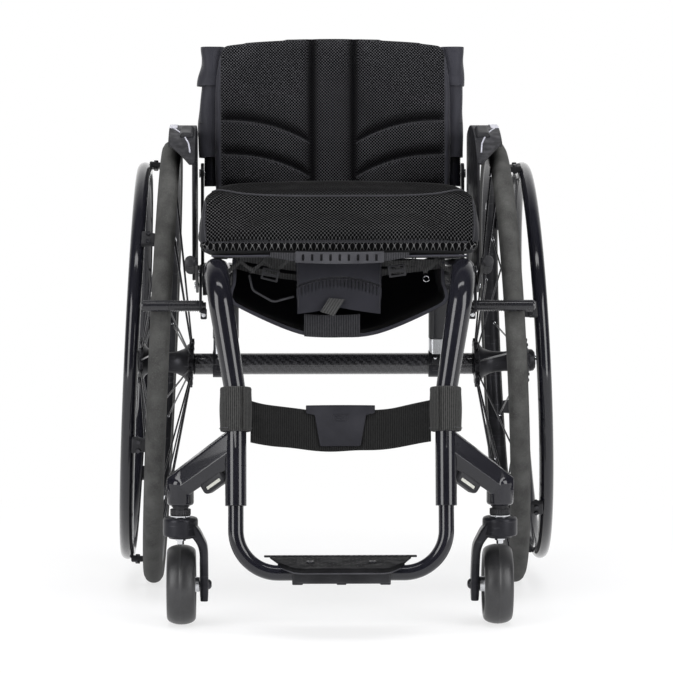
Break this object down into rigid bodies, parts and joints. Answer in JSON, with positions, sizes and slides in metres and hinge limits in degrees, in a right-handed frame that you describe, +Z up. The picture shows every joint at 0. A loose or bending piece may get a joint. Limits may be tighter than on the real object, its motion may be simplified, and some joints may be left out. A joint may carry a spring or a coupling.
{
  "type": "rigid wheelchair",
  "caption": "Rigid active wheelchair with cambered spoked wheels, hand rims, swivelling front casters, padded seat, folding backrest, footplate and wheel locks.",
  "frame": {"origin": "on the floor, in the middle of the chair's box", "axes": "+Z up, the chair faces -Y, and the user's left is +X"},
  "size_m": [0.5696, 0.826, 0.7247],
  "materials": {
    "gloss_black_paint": "gloss near-black, faintly blue",
    "black_anodised": "satin black anodised",
    "brushed_silver": "brushed",
    "carbon_fibre": "clear-coated carbon weave",
    "tyre_rubber": "matt dark grey",
    "moulded_black": "fine moulded grain",
    "grey_plastic": "matt, ribbed",
    "black_mesh_fabric": "open spacer mesh over foam",
    "slate_nylon": "plain-woven nylon",
    "charcoal_elastic": "ribbed elastic webbing"
  },
  "bodies": {
    "frame": {"side_tube_left": "gloss_black_paint", "side_tube_right": "gloss_black_paint", "footrest_tube": "gloss_black_paint", "footplate": "carbon_fibre", "footplate_clamp": "moulded_black", "camber_tube": "carbon_fibre", "axle_plug_left": "black_anodised", "axle_plug_right": "black_anodised", "axle_post_left": "gloss_black_paint", "axle_post_right": "gloss_black_paint", "axle_clamp_left": "black_anodised", "axle_clamp_right": "black_anodised", "wheel_axle_left": "brushed_silver", "wheel_axle_right": "brushed_silver", "caster_arm_left": "gloss_black_paint", "caster_arm_right": "gloss_black_paint", "caster_nut_left": "moulded_black", "caster_nut_right": "moulded_black", "side_guard_left": "gloss_black_paint", "side_guard_right": "gloss_black_paint", "back_bracket_left": "black_anodised", "back_bracket_right": "black_anodised", "lock_mount_left": "black_anodised", "lock_mount_right": "black_anodised", "strap_sleeve_left": "charcoal_elastic", "strap_sleeve_right": "charcoal_elastic", "seat_sling": "slate_nylon", "seat_cushion": "black_mesh_fabric", "cushion_grip": "grey_plastic", "seat_pouch": "slate_nylon", "pouch_flap": "slate_nylon", "calf_strap": "charcoal_elastic", "calf_buckle": "moulded_black"},
    "backrest": {"back_cane_left": "gloss_black_paint", "back_cane_right": "gloss_black_paint", "back_bar": "black_anodised", "back_upholstery": "slate_nylon", "back_pad": "black_mesh_fabric"},
    "drive_wheel_left": {"drive_tyre_left": "tyre_rubber", "wheel_rim_left": "black_anodised", "wheel_hub_left": "black_anodised", "hand_rim_left": "gloss_black_paint"},
    "axle_button_left": {"axle_button_left": "brushed_silver"},
    "caster_fork_left": {"caster_fork_left": "black_anodised", "caster_bolt_left": "brushed_silver"},
    "caster_wheel_left": {"caster_tyre_left": "tyre_rubber", "caster_hub_left": "brushed_silver"},
    "lock_arm_left": {"lock_arm_left": "moulded_black"},
    "lock_lever_left": {"lock_lever_left": "black_anodised"},
    "drive_wheel_right": {"drive_tyre_right": "tyre_rubber", "wheel_rim_right": "black_anodised", "wheel_hub_right": "black_anodised", "hand_rim_right": "gloss_black_paint"},
    "axle_button_right": {"axle_button_right": "brushed_silver"},
    "caster_fork_right": {"caster_fork_right": "black_anodised", "caster_bolt_right": "brushed_silver"},
    "caster_wheel_right": {"caster_tyre_right": "tyre_rubber", "caster_hub_right": "brushed_silver"},
    "lock_arm_right": {"lock_arm_right": "moulded_black"},
    "lock_lever_right": {"lock_lever_right": "black_anodised"}
  },
  "joints": [
    {"name": "backrest_fold", "type": "hinge", "parent": "frame", "child": "backrest", "pos_m": [0, 0.202, 0.545], "axis": [1, 0, 0], "range_deg": [0, 82]},
    {"name": "drive_wheel_left_spin", "type": "hinge", "parent": "frame", "child": "drive_wheel_left", "pos_m": [0.2284, 0.117, 0.29569], "axis": [0.999, 0, 0.0454], "continuous": true},
    {"name": "axle_button_left_press", "type": "slide", "parent": "frame", "child": "axle_button_left", "axis": [-0.999, 0, -0.0454], "range_m": [0, 0.003], "stiffness_N_per_m": 300},
    {"name": "caster_left_swivel", "type": "hinge", "parent": "frame", "child": "caster_fork_left", "pos_m": [0.197, -0.308, 0], "axis": [0, 0, 1], "continuous": true},
    {"name": "caster_left_roll", "type": "hinge", "parent": "caster_fork_left", "child": "caster_wheel_left", "pos_m": [0.197, -0.266, 0.05], "axis": [1, 0, 0], "continuous": true},
    {"name": "lock_arm_left_swing", "type": "hinge", "parent": "frame", "child": "lock_arm_left", "pos_m": [0.1757, -0.15789, 0.43107], "axis": [1, 0, 0], "range_deg": [-25, 0]},
    {"name": "lock_lever_left_swing", "type": "hinge", "parent": "frame", "child": "lock_lever_left", "pos_m": [0.1796, -0.13889, 0.41507], "axis": [1, 0, 0], "range_deg": [-50, 0]},
    {"name": "drive_wheel_right_spin", "type": "hinge", "parent": "frame", "child": "drive_wheel_right", "pos_m": [-0.2284, 0.117, 0.29569], "axis": [0.999, 0, -0.0454], "continuous": true},
    {"name": "axle_button_right_press", "type": "slide", "parent": "frame", "child": "axle_button_right", "axis": [0.999, 0, -0.0454], "range_m": [0, 0.003], "stiffness_N_per_m": 300},
    {"name": "caster_right_swivel", "type": "hinge", "parent": "frame", "child": "caster_fork_right", "pos_m": [-0.197, -0.308, 0], "axis": [0, 0, 1], "continuous": true},
    {"name": "caster_right_roll", "type": "hinge", "parent": "caster_fork_right", "child": "caster_wheel_right", "pos_m": [-0.197, -0.266, 0.05], "axis": [1, 0, 0], "continuous": true},
    {"name": "lock_arm_right_swing", "type": "hinge", "parent": "frame", "child": "lock_arm_right", "pos_m": [-0.1757, -0.15789, 0.43107], "axis": [1, 0, 0], "range_deg": [-25, 0]},
    {"name": "lock_lever_right_swing", "type": "hinge", "parent": "frame", "child": "lock_lever_right", "pos_m": [-0.1796, -0.13889, 0.41507], "axis": [1, 0, 0], "range_deg": [-50, 0]}
  ],
  "couplings": [
    {"joint": "lock_lever_left_swing", "follows": "lock_arm_left_swing", "ratio": 2},
    {"joint": "lock_lever_right_swing", "follows": "lock_arm_right_swing", "ratio": 2}
  ]
}
